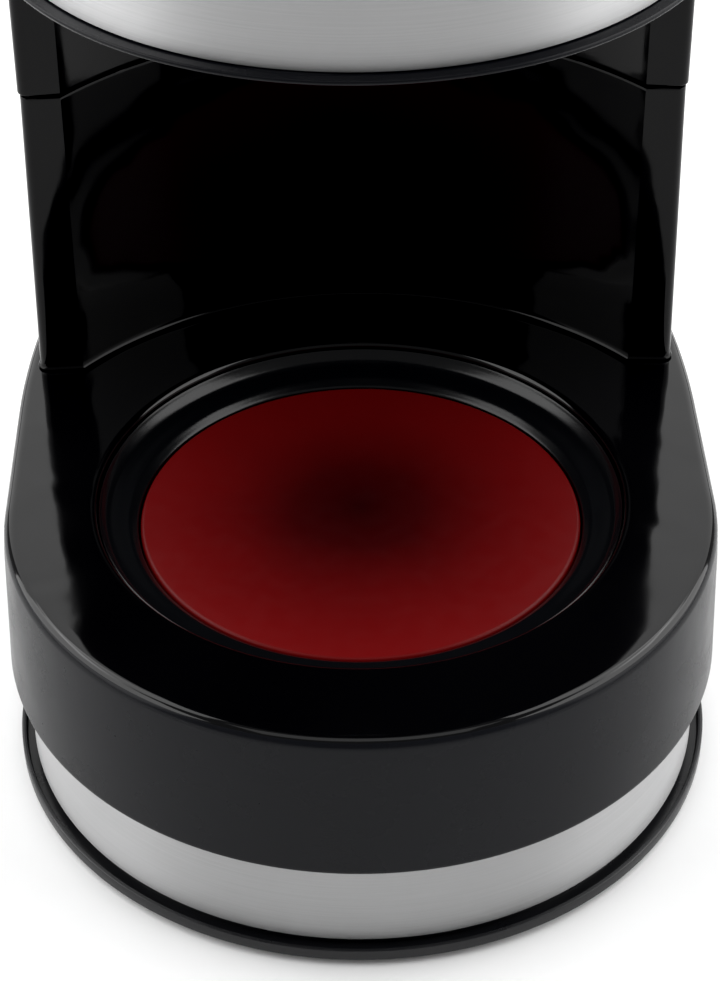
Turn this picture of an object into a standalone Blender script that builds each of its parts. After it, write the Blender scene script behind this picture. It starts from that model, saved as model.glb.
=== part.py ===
"""Drip coffee maker: D-shaped base with a warming plate, a column with a water tank behind
its concave front, and a round brew head with a filter basket, a drip stop and a hinged lid.

Sizes are in millimetres from the warming plate's axis, with z up from the floor.
The front is towards -Y."""
import math

import bmesh
import bpy
from mathutils import Vector

MM = 0.001
GAP = 0.3                    # clearance between pieces that touch

# overall levels
DECK_Z = 65.0                # top of the base
SEAM_Z = 139.4               # split between the column and the upper housing
HEAD_Z = 208.4               # underside of the brew head
FRAME_Z = 262.3              # underside of the top frame
LID_Z = 265.4                # lower edge of the lid
AXIS_Y = -21.75              # plate axis in the object's frame, whose origin is mid-depth

# base
BASE_R, BASE_FRONT_Y = 80.2, -3.0
BASE_SIDE_Y, BASE_END_Y, BASE_CORNER_R = 35.0, 114.0, 16.0
SIDE_BOW = 500.0             # the sides draw in by (y - BASE_SIDE_Y)^2 / SIDE_BOW
COVER_FLARE, COVER_EDGE_Z, COVER_WALL = 1.3, 28.7, 2.4
BAND_INSET, BAND_T, BAND_Z0, BAND_Z1 = 2.3, 0.8, 5.2, 34.0
RIM_OUT, RIM_Z0, RIM_Z1, RIM_GROOVE_Z = 0.8, 1.8, 4.7, 2.9
FEET = ((-36, -52), (36, -52), (-52, 104), (52, 104))
SCREWS = ((-50, -48), (50, -48), (-60, 92), (60, 92))
CLAMP_X = 68.0

# warming plate and its recess
PLATE_R, PLATE_Z = 50.0, 58.4
RECESS_R = 59.5

# column
TOWER_INSET, FACE_Y, WALL = 4.6, 49.8, 2.2
NICHE_R, NICHE_Y, NICHE_EDGE_X = 86.2, -5.5, 65.7
COLUMN_END_Y, TANK_Y = 86.6, 87.1
RISER = (-60.0, 73.0)
OUTLET = (30.0, 104.0)
SWITCH_Y, SWITCH_Z = 76.0, 100.0

# brew head
DRUM_R, DRUM_RIM_R, DRUM_BAND_T = 69.7, 72.3, 0.8
RIM_T, SPIGOT_T = 1.0, 2.9   # flange under the steel band, and the step that centres it
DRUM_BACK_Y = 49.3
CORE_R, CORE_BACK_X = 67.4, 65.2
BASKET_R, BASKET_Z = 61.2, 214.9
SPOUT_H, STOP_TRAVEL = 8.4, 3.5
HINGE_Y, HINGE_Z = 115.5, 269.2
LID_END_Y = 104.0

for old in list(bpy.data.objects):
    bpy.data.objects.remove(old, do_unlink=True)


def material(name, colour, roughness, metallic=0.0):
    mat = bpy.data.materials.new(name)
    mat.use_nodes = True
    shader = mat.node_tree.nodes["Principled BSDF"]
    shader.inputs["Base Color"].default_value = (*colour, 1.0)
    shader.inputs["Roughness"].default_value = roughness
    shader.inputs["Metallic"].default_value = metallic
    return mat


GLOSS = material("gloss_black", (0.010, 0.010, 0.012), 0.07)
SATIN = material("satin_black", (0.022, 0.023, 0.026), 0.36)
STEEL = material("brushed_steel", (0.58, 0.57, 0.55), 0.30, 1.0)
ZINC = material("zinc_steel", (0.55, 0.55, 0.56), 0.38, 1.0)
RED = material("red_coating", (0.115, 0.006, 0.009), 0.34)
RUBBER = material("black_rubber", (0.018, 0.018, 0.018), 0.75)
ALUMINIUM = material("aluminium", (0.70, 0.70, 0.72), 0.42, 1.0)
SILICONE = material("silicone", (0.62, 0.62, 0.60), 0.50)
INNER = material("inner_plastic", (0.030, 0.030, 0.032), 0.55)
CLEAR = material("clear_window", (0.55, 0.58, 0.60), 0.12)
NYLON = material("nylon_mesh", (0.70, 0.66, 0.56), 0.60)

machine = bpy.data.objects.new("machine", None)
machine.location = (0.0, AXIS_Y * MM, 0.0)
bpy.context.scene.collection.objects.link(machine)


# ---------------------------------------------------------------- building helpers
def place(obj, at, turn=(0.0, 0.0, 0.0)):
    bpy.context.scene.collection.objects.link(obj)
    obj.parent = machine
    obj.location = Vector(at) * MM
    obj.rotation_euler = turn
    return obj


def body(name, bm, mat, at=(0, 0, 0), turn=(0.0, 0.0, 0.0), sharp=35):
    bmesh.ops.recalc_face_normals(bm, faces=bm.faces)
    mesh = bpy.data.meshes.new(name)
    bm.to_mesh(mesh)
    bm.free()
    mesh.materials.append(mat)
    mesh.shade_smooth()
    mesh.set_sharp_from_angle(angle=math.radians(sharp))
    return place(bpy.data.objects.new(name, mesh), at, turn)


def as_tool(obj):
    obj.hide_render = True
    obj.display_type = "WIRE"
    return obj


def boolean(obj, operation, *tools):
    for tool in tools:
        mod = obj.modifiers.new(operation.lower(), "BOOLEAN")
        mod.operation = operation
        mod.solver = "EXACT"
        mod.object = as_tool(tool)
    return obj


def bevel(obj, width, segments=2, angle=50):
    mod = obj.modifiers.new("bevel", "BEVEL")
    mod.width = width * MM
    mod.segments = segments
    mod.limit_method = "ANGLE"
    mod.angle_limit = math.radians(angle)
    return obj


def stack(name, loops, mat, ring=False, **kw):
    """Plan loops of equal length, skinned in order. The ends are capped, or meet in a ring."""
    bm = bmesh.new()
    rows = [[bm.verts.new(Vector(p) * MM) for p in loop] for loop in loops]
    above = rows[1:] + [rows[0]] if ring else rows[1:]
    for low, high in zip(rows, above):
        for i in range(len(low)):
            j = (i + 1) % len(low)
            bm.faces.new((low[i], low[j], high[j], high[i]))
    if not ring:
        bm.faces.new(rows[0][::-1])
        bm.faces.new(rows[-1])
    return body(name, bm, mat, **kw)


def prism(name, outline, z0, z1, mat, **kw):
    """An outline in plan, extruded from z0 to z1."""
    bm = bmesh.new()
    face = bm.faces.new([bm.verts.new(Vector((x, y, z0)) * MM) for x, y in outline])
    grown = bmesh.ops.extrude_face_region(bm, geom=[face])["geom"]
    top = [v for v in grown if isinstance(v, bmesh.types.BMVert)]
    bmesh.ops.translate(bm, verts=top, vec=(0.0, 0.0, (z1 - z0) * MM))
    return body(name, bm, mat, **kw)


def turned(name, profile, mat, steps=32, closed=False, **kw):
    """A profile of (radius, z) points turned about Z; closed joins its last point to its first."""
    bm = bmesh.new()
    verts = [bm.verts.new(Vector((r, 0.0, z)) * MM) for r, z in profile]
    edges = [bm.edges.new(pair) for pair in zip(verts, verts[1:])]
    if closed:
        edges.append(bm.edges.new((verts[-1], verts[0])))
    bmesh.ops.spin(bm, geom=verts + edges, cent=(0, 0, 0), axis=(0, 0, 1), angle=math.tau,
                   steps=steps, use_merge=True, use_duplicate=False)
    bmesh.ops.remove_doubles(bm, verts=bm.verts, dist=1e-6)
    return body(name, bm, mat, **kw)


def rods(name, centres, radius, z0, z1, mat, steps=12):
    """Upright cylinders of one size at several centres."""
    bm = bmesh.new()
    for x, y in centres:
        made = bmesh.ops.create_cone(bm, cap_ends=True, segments=steps, radius1=radius * MM,
                                     radius2=radius * MM, depth=(z1 - z0) * MM)["verts"]
        bmesh.ops.translate(bm, verts=made, vec=Vector((x, y, (z0 + z1) / 2)) * MM)
    return body(name, bm, mat)


def block(name, low, high, mat, **kw):
    """A box between two corners."""
    low, high = Vector(low) * MM, Vector(high) * MM
    bm = bmesh.new()
    bmesh.ops.create_cube(bm, size=1.0)
    bmesh.ops.scale(bm, verts=bm.verts, vec=high - low)
    bmesh.ops.translate(bm, verts=bm.verts, vec=(low + high) / 2)
    return body(name, bm, mat, **kw)


def cross_rod(name, x0, x1, y, z, radius, mat, steps=16):
    """A cylinder along X."""
    bm = bmesh.new()
    bmesh.ops.create_cone(bm, cap_ends=True, segments=steps, radius1=radius * MM,
                          radius2=radius * MM, depth=(x1 - x0) * MM)
    return body(name, bm, mat, at=((x0 + x1) / 2, y, z), turn=(0.0, math.pi / 2, 0.0))


def tube(name, points, radius, mat, wall=0.0, sides=2):
    """A round bar along points, or an open-ended pipe when a wall is given."""
    curve = bpy.data.curves.new(name, "CURVE")
    curve.dimensions = "3D"
    curve.bevel_depth = radius * MM
    curve.bevel_resolution = sides
    curve.use_fill_caps = wall == 0.0
    spline = curve.splines.new("POLY")
    spline.points.add(len(points) - 1)
    for slot, p in zip(spline.points, points):
        slot.co = (*(Vector(p) * MM), 1.0)
    curve.materials.append(mat)
    obj = place(bpy.data.objects.new(name, curve), (0, 0, 0))
    if wall:
        mod = obj.modifiers.new("wall", "SOLIDIFY")
        mod.thickness = wall * MM
        mod.offset = -1.0
    return obj


def smooth_path(knots, step):
    """Points read from a Catmull-Rom curve through the knots, about one step apart."""
    knots = [Vector(k) for k in knots]
    ends = [2 * knots[0] - knots[1]] + knots + [2 * knots[-1] - knots[-2]]
    path = []
    for a, b, c, d in zip(ends, ends[1:], ends[2:], ends[3:]):
        count = max(2, round((c - b).length / step))
        for i in range(count):
            t = i / count
            path.append(0.5 * (2 * b + (c - a) * t + (2 * a - 5 * b + 4 * c - d) * t * t
                               + (3 * b - a - 3 * c + d) * t ** 3))
    return path + [knots[-1]]


# ---------------------------------------------------------------- plan outlines
def arc(cx, cy, radius, start, end, count):
    """Points on an arc, angles in degrees, both ends included."""
    angles = [math.radians(start + (end - start) * i / count) for i in range(count + 1)]
    return [(cx + radius * math.cos(a), cy + radius * math.sin(a)) for a in angles]


def both_sides(half):
    """A right half, from the front centre to the rear centre, closed by its mirror."""
    return half + [(-x, y) for x, y in reversed(half) if x > 1e-6]


def offset(outline, distance):
    """The anticlockwise outline moved outwards, with mitred corners."""
    moved = []
    for i, p in enumerate(outline):
        a, p, b = Vector(outline[i - 1]), Vector(p), Vector(outline[(i + 1) % len(outline)])
        n1, n2 = [Vector((d.y, -d.x)).normalized() for d in (p - a, b - p)]
        moved.append(tuple(p + (n1 + n2) * (distance / (1.0 + n1.dot(n2)))))
    return moved


def at_height(outline, z):
    return [(x, y, z) for x, y in outline]


def circle_for(outline, radius, z):
    """A circle whose points lie in line with those of the outline, seen from the axis."""
    return [(radius * x / math.hypot(x, y), radius * y / math.hypot(x, y), z) for x, y in outline]


def scaled(outline, factor, z, cy):
    return [(x * factor, cy + (y - cy) * factor, z) for x, y in outline]


def base_side(y):
    return BASE_R - max(0.0, y - BASE_SIDE_Y) ** 2 / SIDE_BOW


def rear_corner(side, end_y, radius, count=5):
    """The round rear corner that starts from the side at end_y, and points on to the middle."""
    lean = math.atan2(side(end_y - 0.5) - side(end_y + 0.5), 1.0)
    cx, cy = side(end_y) - radius * math.cos(lean), end_y - radius * math.sin(lean)
    corner = arc(cx, cy, radius, math.degrees(lean), 90, count)
    rear_y = cy + radius
    return corner + [(cx * k / 4, rear_y) for k in (3, 2, 1, 0)]


def side_points(side, y0, y1, count):
    """Points along the side after y0 and before y1."""
    return [(side(y), y) for y in (y0 + (y1 - y0) * i / count for i in range(1, count))]


base_plan = both_sides(arc(0, BASE_FRONT_Y, BASE_R, -90, 0, 13)
                       + side_points(base_side, BASE_FRONT_Y, BASE_END_Y, 10)
                       + rear_corner(base_side, BASE_END_Y, BASE_CORNER_R))


def tower_side(y):
    return base_side(y) - TOWER_INSET


def top_side(y):
    """Half-width of the top frame and lid: the drum's rim, widening into the column."""
    if y > FACE_Y:
        return tower_side(y)
    blend = max(0.0, y) / FACE_Y
    return DRUM_RIM_R + (tower_side(FACE_Y) - DRUM_RIM_R) * blend


top_plan = both_sides(arc(0, 0, DRUM_RIM_R, -90, 0, 12) + side_points(top_side, 0, BASE_END_Y - 4, 7)
                      + rear_corner(top_side, BASE_END_Y - 4, BASE_CORNER_R - 4))
lid_plan = both_sides(arc(0, 0, DRUM_RIM_R - 0.4, -90, 0, 12)
                      + side_points(lambda y: top_side(y) - 0.4, 0, LID_END_Y, 7)
                      + rear_corner(lambda y: top_side(y) - 0.4, LID_END_Y, 9.0))


def niche_half(radius, edge_x, count):
    """The niche's concave arc from its right edge to the middle."""
    edge = math.degrees(math.acos(edge_x / radius))
    return arc(0, NICHE_Y, radius, edge, 90, count)


def column_plan(grow):
    """Section of the column: two flat front faces, the concave niche wall and both sides.
    One wall thickness all round, open at the back."""
    side = tower_side(FACE_Y) + grow
    corner = arc(side - 2.4, FACE_Y + 2.4, 2.4, -90, 0, 3)
    outer = ([(x, y) for x, y in reversed(niche_half(NICHE_R, NICHE_EDGE_X, 14))] + corner
             + [(tower_side(y) + grow, y) for y in (62.0, 74.0, COLUMN_END_Y)])
    inner = [(tower_side(y) + grow - WALL, y) for y in (COLUMN_END_Y, 74.0, 62.0)]
    inner += [(side - WALL, FACE_Y + WALL + 0.4), (side - WALL - 0.4, FACE_Y + WALL)]
    inner += niche_half(NICHE_R + WALL, NICHE_EDGE_X + 0.9, 14)
    half = outer + inner
    return half[:-1] + [(-x, y) for x, y in reversed(half[1:])]


# ---------------------------------------------------------------- base
def base():
    plan = base_plan
    profile = ((COVER_FLARE, COVER_EDGE_Z), (0.3, 58.0), (0.0, 62.2), (-0.5, 63.8), (-1.4, 64.7),
               (-2.7, DECK_Z))
    loops = [at_height(offset(plan, d), z) for d, z in profile]
    loops += [circle_for(plan, r, z) for r, z in
              ((61.2, DECK_Z), (60.2, 64.75), (59.7, 64.1), (RECESS_R, 61.0), (61.7, 61.0),
               (61.7, DECK_Z - 2.3))]
    loops += [at_height(offset(plan, d), z) for d, z in
              ((-COVER_WALL - 0.6, DECK_Z - 2.3), (COVER_FLARE - COVER_WALL, COVER_EDGE_Z))]
    cover = stack("base_cover", loops, GLOSS, ring=True)
    bosses = rods("boss_solids", SCREWS, 4.5, 5.0, DECK_Z - 1.4, GLOSS)
    clamp_bosses = rods("clamp_boss_solids", ((-CLAMP_X, 0), (CLAMP_X, 0)), 4.5, 48.7, DECK_Z - 1.4, GLOSS)
    boolean(cover, "UNION", bosses, clamp_bosses)
    holes = (rods("boss_holes", SCREWS, 1.8, 4.0, 24.0, GLOSS),
             rods("clamp_boss_holes", ((-CLAMP_X, 0), (CLAMP_X, 0)), 1.8, 47.0, 58.0, GLOSS),
             rods("pipe_holes", (RISER, OUTLET), 8.0, 50.0, 70.0, GLOSS),
             block("wire_hole", (58, 64, 50), (68, 80, 70), GLOSS))
    boolean(cover, "DIFFERENCE", *holes)
    rear_y = max(y for _, y in plan)
    gland_at = (-40.0, rear_y, 46.0)
    boolean(cover, "DIFFERENCE",
            turned("gland_hole", ((0, -10), (5.0, -10), (5.0, 10), (0, 10)), GLOSS, steps=20,
                   at=gland_at, turn=(math.pi / 2, 0, 0)))
    turned("cord_gland", ((3.2, -2.9), (7.4, -2.9), (7.4, -1.2), (4.6, -1.0), (4.6, 2.5), (6.4, 2.5),
                          (6.4, 4.2), (3.2, 4.2)), RUBBER, steps=20, closed=True,
           at=gland_at, turn=(math.pi / 2, 0, 0))

    stack("base_band", [at_height(offset(plan, d), z) for d, z in
                        ((-BAND_INSET, BAND_Z0), (-BAND_INSET, BAND_Z1),
                         (-BAND_INSET - BAND_T, BAND_Z1), (-BAND_INSET - BAND_T, BAND_Z0))],
          STEEL, ring=True)

    plate = stack("base_plate", [at_height(offset(plan, d), z) for d, z in
                                 ((RIM_OUT - 0.5, RIM_Z0), (RIM_OUT, RIM_Z0 + 0.4), (RIM_OUT, RIM_Z1 - 0.3),
                                  (RIM_OUT - 0.3, RIM_Z1), (RIM_OUT - 0.8, RIM_Z1),
                                  (RIM_OUT - 1.2, RIM_Z1 - 0.4), (RIM_OUT - 1.4, RIM_GROOVE_Z),
                                  (-3.5, RIM_GROOVE_Z), (-3.5, 12.0), (-5.5, 12.0), (-5.5, 4.3))], SATIN)
    boolean(plate, "DIFFERENCE", rods("screw_holes", SCREWS, 2.0, 0.0, 8.0, SATIN),
            rods("screw_recesses", SCREWS, 4.0, 0.0, 3.4, SATIN))
    vents = [block("vent_%d" % k, (18.0 * k - 3.0, -22.0, 0.0), (18.0 * k + 3.0, 22.0, 8.0), SATIN)
             for k in (-1, 0, 1)]
    boolean(plate, "DIFFERENCE", *vents)

    screw_profile = ((0, 2.1), (3.4, 2.1), (3.6, 2.6), (3.5, 3.1), (1.5, 3.1), (1.5, 17.0), (0, 18.4))
    foot_profile = ((0, 0), (7.2, 0), (8.0, 0.5), (7.6, 1.5), (0, 1.5))
    for k, (x, y) in enumerate(SCREWS, 1):
        turned("base_screw_%d" % k, screw_profile, ZINC, steps=12, at=(x, y, 0))
    for k, (x, y) in enumerate(FEET, 1):
        turned("foot_%d" % k, foot_profile, RUBBER, steps=20, at=(x, y, 0))


def warming_plate():
    turned("warming_plate", ((0, PLATE_Z - 1.1), (PLATE_R - 1.1, PLATE_Z - 1.1), (PLATE_R - 1.1, 54.5),
                             (PLATE_R, 54.5), (PLATE_R, PLATE_Z - 0.8), (PLATE_R - 0.3, PLATE_Z - 0.2),
                             (PLATE_R - 0.9, PLATE_Z), (0, PLATE_Z)), RED, steps=48)
    turned("plate_ring", ((50.4, 55.6), (50.4, 57.4), (50.9, 58.5), (52.2, 59.5), (54.6, 60.1),
                          (56.6, 60.8), (58.3, 62.6), (59.1, 63.4), (59.1, 60.6), (61.9, 60.6),
                          (57.0, 58.4), (53.0, 55.6)), SATIN, steps=48, closed=True)


def horseshoe(radius, half_gap, z, dip_z, end_y):
    """A path round the plate's axis, open at the rear, whose ends dip and run backwards."""
    ring = [(x, y, z) for x, y in arc(0, 0, radius, 90 + half_gap, 450 - half_gap, 18)]
    x, y = ring[0][0], ring[0][1]
    left = [(x, end_y, dip_z), (x, y + 20, dip_z), (x, y + 13, dip_z + 1.0), (x, y + 6, z - 1.0)]
    return left + ring + [(-px, py, pz) for px, py, pz in reversed(left)]


def heater():
    tube("heater_element", horseshoe(38.0, 27.0, 53.5, 46.5, 62.0), 3.4, ZINC)
    tube("water_tube", horseshoe(27.0, 19.0, 52.7, 43.0, 58.0), 4.2, ALUMINIUM, wall=1.0, sides=1)
    clamp = block("heater_clamp", (-73, -7, 46.8), (73, 7, 48.3), ZINC)
    boolean(clamp, "DIFFERENCE", rods("clamp_holes", ((-CLAMP_X, 0), (CLAMP_X, 0)), 2.0, 44, 52, ZINC))
    for side, x in (("left", -CLAMP_X), ("right", CLAMP_X)):
        turned("clamp_screw_%s" % side, ((0, 44.4), (3.2, 44.4), (3.4, 46.5), (1.5, 46.5),
                                         (1.5, 55.0), (0, 56.2)), ZINC, steps=12, at=(x, 0, 0))
    turned("thermostat", ((0, 36.0), (7.5, 36.0), (7.5, 42.0), (9.6, 42.4), (9.6, 43.4), (8.2, 43.8),
                          (8.2, 46.4), (0, 46.4)), ALUMINIUM, steps=20)


def water_path():
    x, y = OUTLET
    turned("tank_grommet", ((2.4, 57.6), (4.6, 57.6), (5.6, 64.0), (5.6, 67.1), (4.7, 67.1),
                            (4.7, 70.3), (6.0, 70.6), (6.0, 71.8), (2.4, 71.8)), SILICONE, steps=16,
           closed=True, at=(x, y, 0))
    turned("check_valve", ((2.0, 38.0), (3.6, 38.0), (3.6, 44.0), (6.0, 45.0), (6.0, 55.4), (3.8, 56.4),
                           (3.8, 57.2), (1.8, 57.2), (1.8, 55.2), (3.4, 54.2), (3.4, 48.2), (2.0, 46.6)),
           INNER, steps=16, closed=True, at=(x, y, 0))
    ball = bmesh.new()
    bmesh.ops.create_icosphere(ball, subdivisions=2, radius=2.6 * MM)
    body("check_ball", ball, ZINC, at=(x, y, 50.2), sharp=80)
    end_x = 27.0 * math.sin(math.radians(19.0))
    tube("inlet_hose", smooth_path(((x, y, 37.4), (x, y - 1, 31), (x - 3, y - 12, 23), (end_x + 5, 80, 24),
                                    (end_x + 1, 71, 36), (end_x, 64, 42.6), (end_x, 58.5, 43.0)), 5.5),
         4.4, SILICONE, wall=1.4)
    rx, ry = RISER
    tube("outlet_hose", smooth_path(((-end_x, 58.5, 43.0), (-end_x - 1, 65, 42.4), (-24, 74, 37),
                                     (-44, 76, 35), (-57, 75, 40), (rx, ry, 48), (rx, ry, 57.6)), 5.5),
         4.4, SILICONE, wall=1.4)
    turned("riser_tube", ((2.6, 58.0), (4.0, 58.0), (4.0, 269.5), (2.6, 269.5)), INNER, steps=16,
           closed=True, at=(rx, ry, 0))


# ---------------------------------------------------------------- column
def switch_turn():
    return math.atan(2 * (SWITCH_Y - BASE_SIDE_Y) / SIDE_BOW)


def column():
    section = column_plan(0.9)
    top_section = column_plan(-0.2)
    front = stack("column_front", [at_height(section, DECK_Z + GAP), at_height(top_section, SEAM_Z - 0.3)],
                  GLOSS, sharp=30)
    turn = (0.0, 0.0, switch_turn())
    wall_x = tower_side(SWITCH_Y) + 0.3
    at = (wall_x, SWITCH_Y, SWITCH_Z)
    boolean(front, "DIFFERENCE", block("switch_cutout", (-6, -6.9, -9.9), (6, 6.9, 9.9), GLOSS,
                                       at=at, turn=turn))
    housing = block("switch_body", (-12.0, -6.5, -9.5), (0.9, 6.5, 9.5), SATIN, at=at, turn=turn)
    boolean(housing, "UNION", block("switch_flange", (0.8, -7.8, -10.8), (2.0, 7.8, 10.8), SATIN,
                                    at=at, turn=turn))
    boolean(housing, "DIFFERENCE", block("switch_pocket", (-9.0, -5.0, -8.0), (4.0, 5.0, 8.0), SATIN,
                                         at=at, turn=turn))
    rocker = bmesh.new()
    half = [(-2.6, -6.4), (2.2, -7.4), (1.5, 0.0), (2.2, 7.4), (-2.6, 6.4), (-4.6, 0.0)]
    face = rocker.faces.new([rocker.verts.new(Vector((x, -4.6, z)) * MM) for x, z in half])
    grown = bmesh.ops.extrude_face_region(rocker, geom=[face])["geom"]
    bmesh.ops.translate(rocker, verts=[v for v in grown if isinstance(v, bmesh.types.BMVert)],
                        vec=(0, 9.2 * MM, 0))
    pivot = Vector(at) + Vector((math.cos(turn[2]), math.sin(turn[2]), 0.0)) * 1.0
    body("switch_rocker", rocker, SATIN, at=pivot, turn=(0.0, math.radians(-9.0), turn[2]))

    stack("upper_housing", [at_height(column_plan(0.3), SEAM_Z + 0.3), at_height(column_plan(0.3), 262.0)],
          GLOSS, sharp=30)


def tank():
    side_end = BASE_END_Y - 4.0
    half = ([(0.0, TANK_Y), (20.0, TANK_Y), (44.0, TANK_Y), (tower_side(TANK_Y) + 0.2, TANK_Y)]
            + [(tower_side(y) + 0.2, y) for y in (93.0, 100.0, 105.0)]
            + rear_corner(lambda y: tower_side(y) + 0.2, side_end, BASE_CORNER_R - 4.0))
    plan = both_sides(half)
    vessel = stack("water_tank", [at_height(plan, DECK_Z + GAP), at_height(plan, 262.0),
                                  at_height(offset(plan, -WALL), 262.0),
                                  at_height(offset(plan, -WALL), 70.0)], SATIN)
    window_y = 96.5
    lean = math.atan(2 * (window_y - BASE_SIDE_Y) / SIDE_BOW)
    at = (-tower_side(window_y) - 0.2 + WALL / 2 * math.cos(lean), window_y, 165.0)
    turn = (0.0, 0.0, -lean)
    boolean(vessel, "DIFFERENCE", rods("tank_outlet", (OUTLET,), 5.0, 60.0, 75.0, SATIN),
            rods("grommet_seat", (OUTLET,), 6.0, 60.0, 67.4, SATIN),
            block("window_cut", (-4, -3.8, -60.5), (4, 3.8, 60.5), SATIN, at=at, turn=turn))
    block("level_window", (-1.3, -3.5, -60.2), (0.9, 3.5, 60.2), CLEAR, at=at, turn=turn)


# ---------------------------------------------------------------- brew head
def head():
    rim = both_sides(arc(0, 0, DRUM_RIM_R, -90, 0, 13) + [(DRUM_RIM_R, DRUM_BACK_Y)]
                     + [(CORE_BACK_X, DRUM_BACK_Y)] + niche_half(NICHE_R - GAP, CORE_BACK_X, 7))
    plate = bevel(prism("head_rim", rim, HEAD_Z, HEAD_Z + RIM_T, SATIN), 0.35)
    step_r, step_x = DRUM_R - DRUM_BAND_T - 0.4, CORE_BACK_X - 0.8
    step = both_sides(arc(0, 0, step_r, -90, 0, 13) + [(step_r, DRUM_BACK_Y - 0.7), (step_x, DRUM_BACK_Y - 0.7)]
                      + niche_half(NICHE_R - 1.2, step_x, 7))
    boolean(plate, "UNION", prism("rim_spigot", step, HEAD_Z + 0.5, HEAD_Z + SPIGOT_T, SATIN))
    boolean(plate, "DIFFERENCE", rods("rim_hole", ((0, 0),), 20.0, HEAD_Z - 5, HEAD_Z + 8, SATIN, steps=32))

    core = both_sides(arc(0, 0, CORE_R, -90, 0, 13) + [(66.7, 16.0), (65.9, 33.0)]
                      + niche_half(NICHE_R - GAP, CORE_BACK_X, 7))
    low = HEAD_Z + SPIGOT_T + 0.4
    inner = offset(core, -WALL)
    chamber = stack("brew_chamber", [at_height(core, low), at_height(core, 262.0),
                                     at_height(inner, 262.0), at_height(inner, low + 2.2)], INNER)
    boolean(chamber, "DIFFERENCE", rods("funnel_hole", ((0, 0),), 22.0, low - 5, low + 8, INNER, steps=32))

    strip = [(DRUM_R, DRUM_BACK_Y), (DRUM_R, 25.0)]
    right_outer = arc(0, 0, DRUM_R, 0, -180, 26)
    inner_r = DRUM_R - DRUM_BAND_T
    section = (strip + right_outer + [(-DRUM_R, 25.0), (-DRUM_R, DRUM_BACK_Y), (-inner_r, DRUM_BACK_Y),
                                      (-inner_r, 25.0)] + arc(0, 0, inner_r, -180, 0, 26)
               + [(inner_r, 25.0), (inner_r, DRUM_BACK_Y)])
    prism("head_band", section, HEAD_Z + RIM_T + GAP, 261.8, STEEL, sharp=30)


def basket():
    z = BASKET_Z
    turned("filter_basket", ((4.5, z - SPOUT_H), (8.5, z - SPOUT_H), (8.5, z), (46.0, z), (57.5, z + 41.5),
                             (BASKET_R, z + 42.0), (BASKET_R, z + 43.9), (56.2, z + 43.9),
                             (44.8, z + 3.6), (12.0, z + 2.0), (4.5, z + 2.0)),
           INNER, steps=36, closed=True)
    turned("mesh_filter", ((0, 231.0), (42.0, 231.0), (53.6, 257.8), (54.4, 259.2), (59.5, 259.2),
                           (59.5, 260.4), (53.4, 260.4), (41.2, 232.0), (0, 232.0)), NYLON, steps=36)
    floor = z + 2.0
    seat = z - SPOUT_H - STOP_TRAVEL
    turned("drip_stem", ((0, seat - 1.5), (6.0, seat - 1.5), (6.6, seat - 1.0), (6.4, seat - 0.6), (3.0, seat - 0.1),
                         (3.0, floor + 0.3), (8.2, floor + 0.3), (8.2, floor + 2.2), (2.2, floor + 2.5),
                         (2.2, 226.4), (0, 226.9)), SILICONE, steps=20)
    cage = turned("drip_retainer", ((9.7, floor + 0.3), (11.0, floor + 0.3), (11.0, 229.4), (3.0, 229.4),
                                    (3.0, 227.9), (9.7, 227.9)), INNER, steps=20, closed=True)
    boolean(cage, "DIFFERENCE", block("cage_window", (-16, -4, floor + 1.5), (16, 4, 225.5), INNER))
    turns, per_turn, low, high = 3.5, 12, floor + 3.3, 227.0
    count = int(turns * per_turn)
    coil = [(5.6 * math.cos(math.tau * i / per_turn), 5.6 * math.sin(math.tau * i / per_turn),
             low + (high - low) * i / count) for i in range(count + 1)]
    tube("drip_spring", coil, 0.4, ZINC, sides=1)


def spray():
    rx, ry = RISER
    reach = math.hypot(rx, ry)
    heading = math.atan2(-ry, -rx)
    at, turn = (rx, ry, 0.0), (0.0, 0.0, heading)
    arm = block("spray_arm", (0, -4.5, 266.4), (reach, 4.5, 271.4), INNER, at=at, turn=turn)
    boss = turned("arm_boss", ((0, 265.5), (6.4, 265.5), (6.4, 272.4), (0, 272.4)), INNER, steps=24,
                  at=at, turn=turn)
    rose = turned("spray_rose", ((0, 265.5), (14.0, 265.5), (15.0, 266.3), (15.0, 268.8), (13.0, 272.0),
                                 (0, 272.0)), INNER, steps=28)
    boolean(arm, "UNION", boss, rose)
    boolean(arm, "DIFFERENCE", rods("arm_socket", (RISER,), 4.4, 262.0, 270.4, INNER))


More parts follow.
